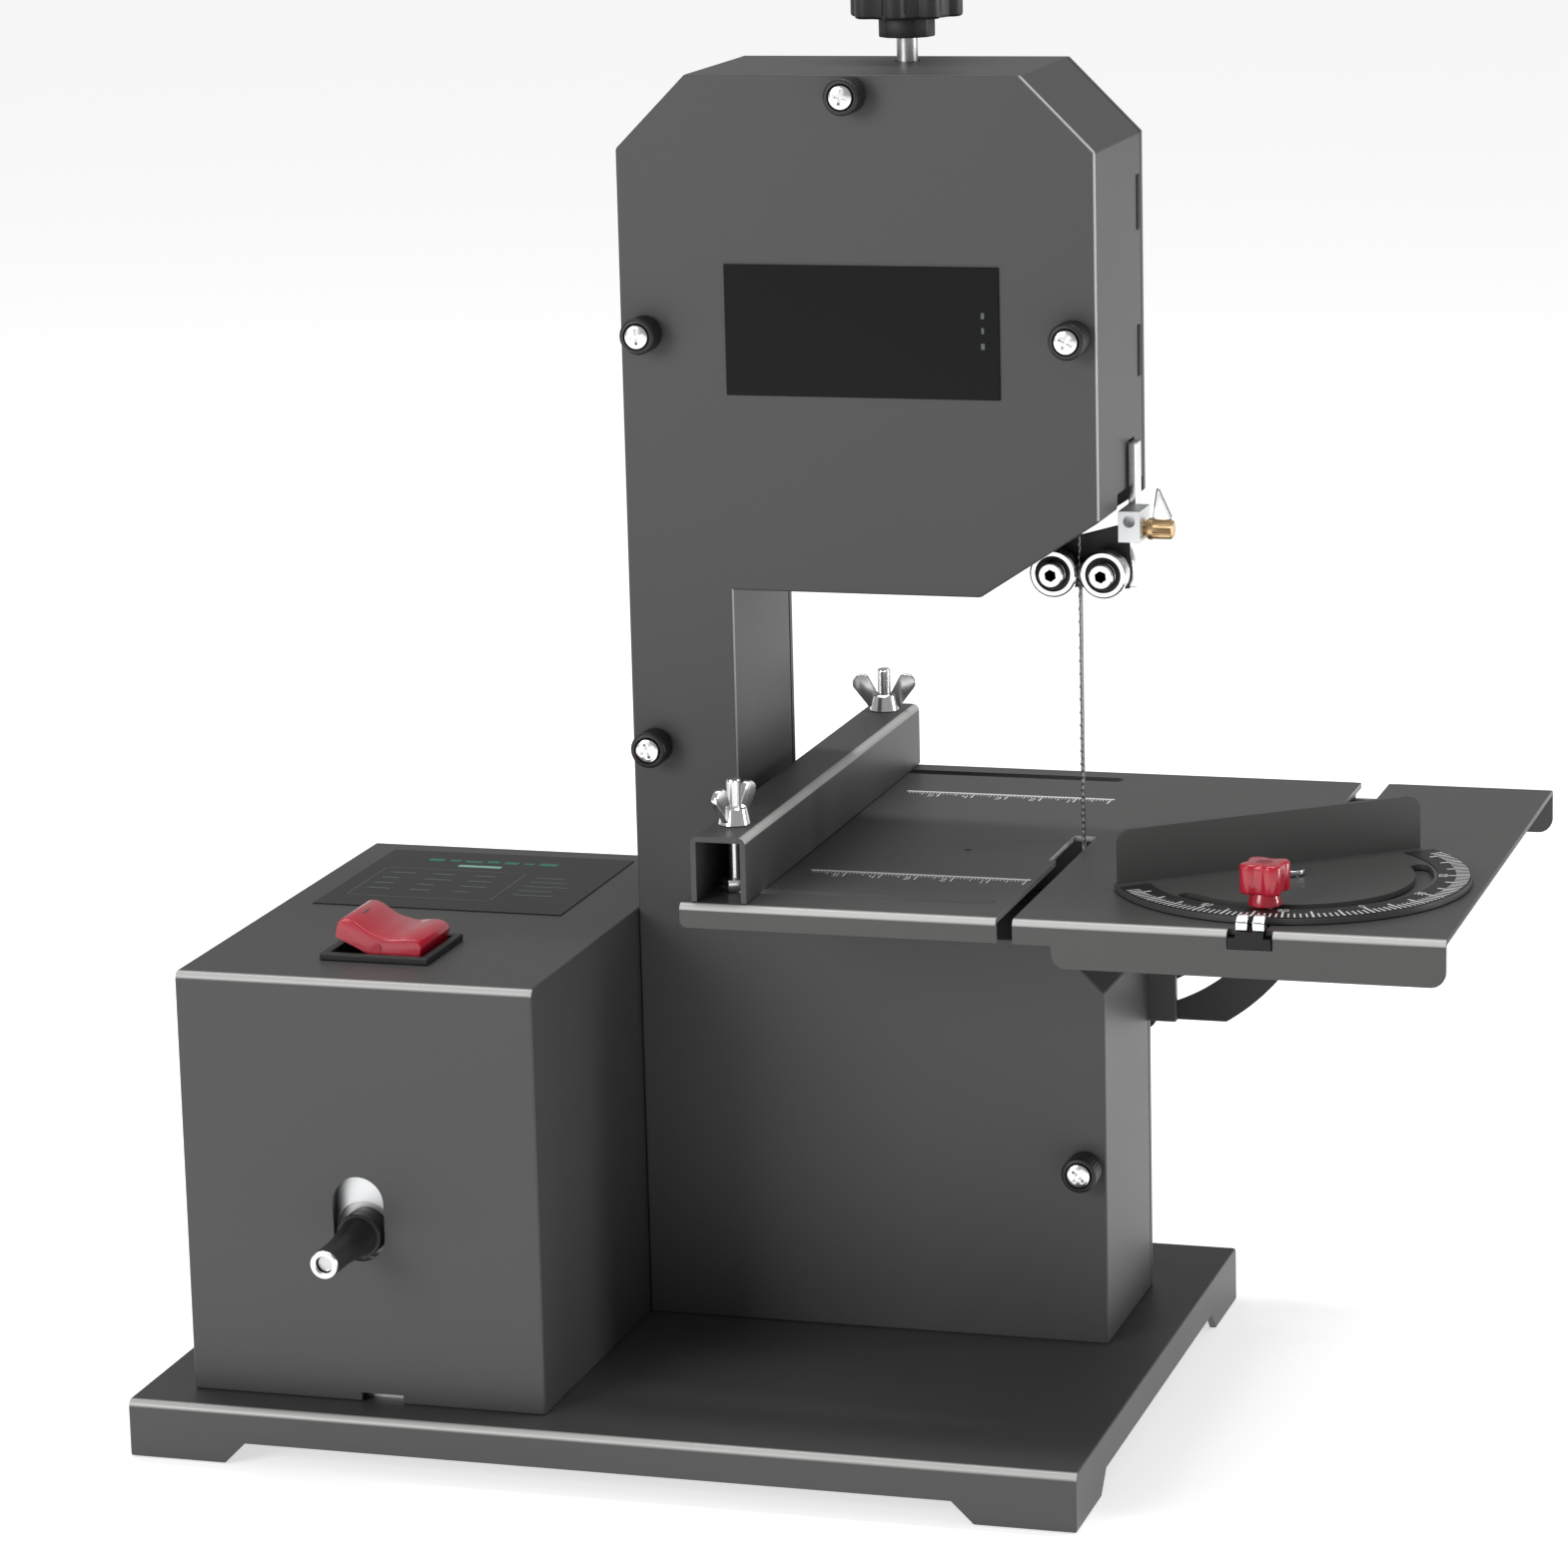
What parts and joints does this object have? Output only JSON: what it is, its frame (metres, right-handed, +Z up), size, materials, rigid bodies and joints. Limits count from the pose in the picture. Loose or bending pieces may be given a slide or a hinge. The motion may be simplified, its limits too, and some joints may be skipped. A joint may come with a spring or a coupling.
{
  "type": "bench band saw",
  "caption": "Bench band saw in folded sheet steel: motor box, C-shaped wheel housing, narrow blade, tilting table with rip fence and mitre gauge.",
  "frame": {"origin": "centre of the base tray's footprint, on the bench", "axes": "+X to the operator's right, +Y away from the operator, +Z up"},
  "size_m": [0.3523, 0.2308, 0.3918],
  "materials": {
    "housing_paint": "satin dark grey powder coat",
    "table_paint": "satin grey powder coat",
    "steel": "zinc-plated, lightly brushed",
    "bright_steel": "bright nickel plate",
    "alloy": "machined",
    "blade_steel": "blued spring steel",
    "black_plastic": "fine textured black plastic",
    "black_oxide": "black oxide",
    "rubber": "black rubber",
    "gloss_black": "glossy printed film",
    "red_plastic": "translucent red plastic",
    "brass": "knurled brass",
    "white_ink": "printed white ink"
  },
  "bodies": {
    "machine": {"base_plate": "housing_paint", "motor_cover": "housing_paint", "rear_panel": "housing_paint", "panel_screws": "bright_steel", "power_inlet": "black_plastic", "motor_mount": "alloy", "motor_body": "steel", "drive_belt": "rubber", "bearing_block": "alloy", "back_frame": "housing_paint", "front_cover": "housing_paint", "standoffs": "steel", "thumb_screws": "bright_steel", "thumb_collars": "black_plastic", "front_panel": "gloss_black", "tension_rails": "housing_paint", "blade": "blade_steel", "quadrant_bolts": "steel", "switch_bezel": "black_plastic", "control_label": "gloss_black"},
    "lower_drive": {"lower_shaft": "steel", "lower_wheel": "alloy", "lower_tyre": "rubber", "driven_pulley": "alloy"},
    "motor_rotor": {"motor_shaft": "steel", "spindle_sleeve": "black_oxide", "drive_pulley": "alloy"},
    "tensioner": {"tension_block": "alloy", "upper_axle": "steel"},
    "upper_wheel_set": {"upper_wheel": "alloy", "upper_tyre": "rubber"},
    "tension_control": {"tension_screw": "steel", "tension_knob": "black_plastic"},
    "guide": {"guide_post": "steel", "guide_block": "alloy", "guide_arm": "housing_paint", "bearing_bolts": "bright_steel", "thrust_pin": "steel"},
    "guide_roller_left": {"guide_bearing_left": "bright_steel"},
    "guide_roller_right": {"guide_bearing_right": "bright_steel"},
    "guide_lock": {"lock_screw": "brass", "lock_bail": "bright_steel"},
    "table_group": {"table": "table_paint", "table_scales": "white_ink", "mitre_channel": "housing_paint", "quadrant": "housing_paint"},
    "tilt_lock": {"tilt_knob": "black_plastic"},
    "fence_group": {"fence": "housing_paint", "fence_bolts": "bright_steel"},
    "front_wing_nut": {"wing_nut_front": "bright_steel"},
    "rear_wing_nut": {"wing_nut_rear": "bright_steel"},
    "mitre_slide": {"mitre_bar": "steel", "mitre_pointer": "bright_steel", "mitre_pin": "bright_steel"},
    "protractor": {"mitre_plate": "table_paint", "mitre_scale": "housing_paint"},
    "mitre_lock": {"mitre_knob": "red_plastic"},
    "switch_rocker": {"rocker": "red_plastic"}
  },
  "joints": [
    {"name": "lower_wheel_spin", "type": "hinge", "parent": "machine", "child": "lower_drive", "pos_m": [0.0542, 0.0319, 0.0724], "axis": [0, 1, 0], "continuous": true},
    {"name": "motor_spin", "type": "hinge", "parent": "machine", "child": "motor_rotor", "pos_m": [-0.0677, 0, 0.0628], "axis": [0, 1, 0], "continuous": true},
    {"name": "blade_tension", "type": "slide", "parent": "machine", "child": "tensioner", "axis": [0, 0, 1], "range_m": [-0.005, 0]},
    {"name": "upper_wheel_spin", "type": "hinge", "parent": "tensioner", "child": "upper_wheel_set", "pos_m": [0.0542, 0.0319, 0.303], "axis": [0, 1, 0], "continuous": true},
    {"name": "tension_turn", "type": "hinge", "parent": "machine", "child": "tension_control", "pos_m": [0.0542, 0.046, 0.37], "axis": [0, 0, 1], "range_deg": [0, 1800]},
    {"name": "guide_height", "type": "slide", "parent": "machine", "child": "guide", "axis": [0, 0, 1], "range_m": [-0.015, 0]},
    {"name": "guide_left_spin", "type": "hinge", "parent": "guide", "child": "guide_roller_left", "pos_m": [0.0972, 0.032, 0.2268], "axis": [0, 1, 0], "continuous": true},
    {"name": "guide_right_spin", "type": "hinge", "parent": "guide", "child": "guide_roller_right", "pos_m": [0.1112, 0.032, 0.2268], "axis": [0, 1, 0], "continuous": true},
    {"name": "guide_lock_turn", "type": "hinge", "parent": "guide", "child": "guide_lock", "pos_m": [0.125, 0.031, 0.2396], "axis": [1, 0, 0], "range_deg": [0, 90]},
    {"name": "table_tilt", "type": "hinge", "parent": "machine", "child": "table_group", "pos_m": [0.1042, 0, 0.1482], "axis": [0, 1, 0], "range_deg": [0, 45]},
    {"name": "tilt_lock_turn", "type": "hinge", "parent": "machine", "child": "tilt_lock", "pos_m": [0.10936, 0.065, 0.09907], "axis": [0, 1, 0], "range_deg": [0, 360]},
    {"name": "fence_slide", "type": "slide", "parent": "table_group", "child": "fence_group", "axis": [1, 0, 0], "range_m": [0, 0.0475]},
    {"name": "front_wing_turn", "type": "hinge", "parent": "fence_group", "child": "front_wing_nut", "pos_m": [0.0264, -0.0405, 0.172], "axis": [0, 0, 1], "range_deg": [0, 360]},
    {"name": "rear_wing_turn", "type": "hinge", "parent": "fence_group", "child": "rear_wing_nut", "pos_m": [0.0264, 0.1075, 0.172], "axis": [0, 0, 1], "range_deg": [0, 360]},
    {"name": "mitre_travel", "type": "slide", "parent": "table_group", "child": "mitre_slide", "axis": [0, 1, 0], "range_m": [-0.02, 0.06]},
    {"name": "mitre_swing", "type": "hinge", "parent": "mitre_slide", "child": "protractor", "pos_m": [0.1695, -0.0029, 0.153], "axis": [0, 0, 1], "range_deg": [-98.3, 21.7]},
    {"name": "mitre_lock_turn", "type": "hinge", "parent": "mitre_slide", "child": "mitre_lock", "pos_m": [0.1695, -0.038, 0.16], "axis": [0, 0, 1], "range_deg": [0, 360]},
    {"name": "switch_rock", "type": "hinge", "parent": "machine", "child": "switch_rocker", "pos_m": [-0.0678, -0.053, 0.1368], "axis": [0, 1, 0], "range_deg": [-28, 0]}
  ],
  "couplings": [
    {"joint": "motor_spin", "follows": "lower_wheel_spin", "ratio": 3},
    {"joint": "upper_wheel_spin", "follows": "lower_wheel_spin", "ratio": 1},
    {"joint": "tension_turn", "follows": "blade_tension", "rad_per_m": -6283.2}
  ]
}
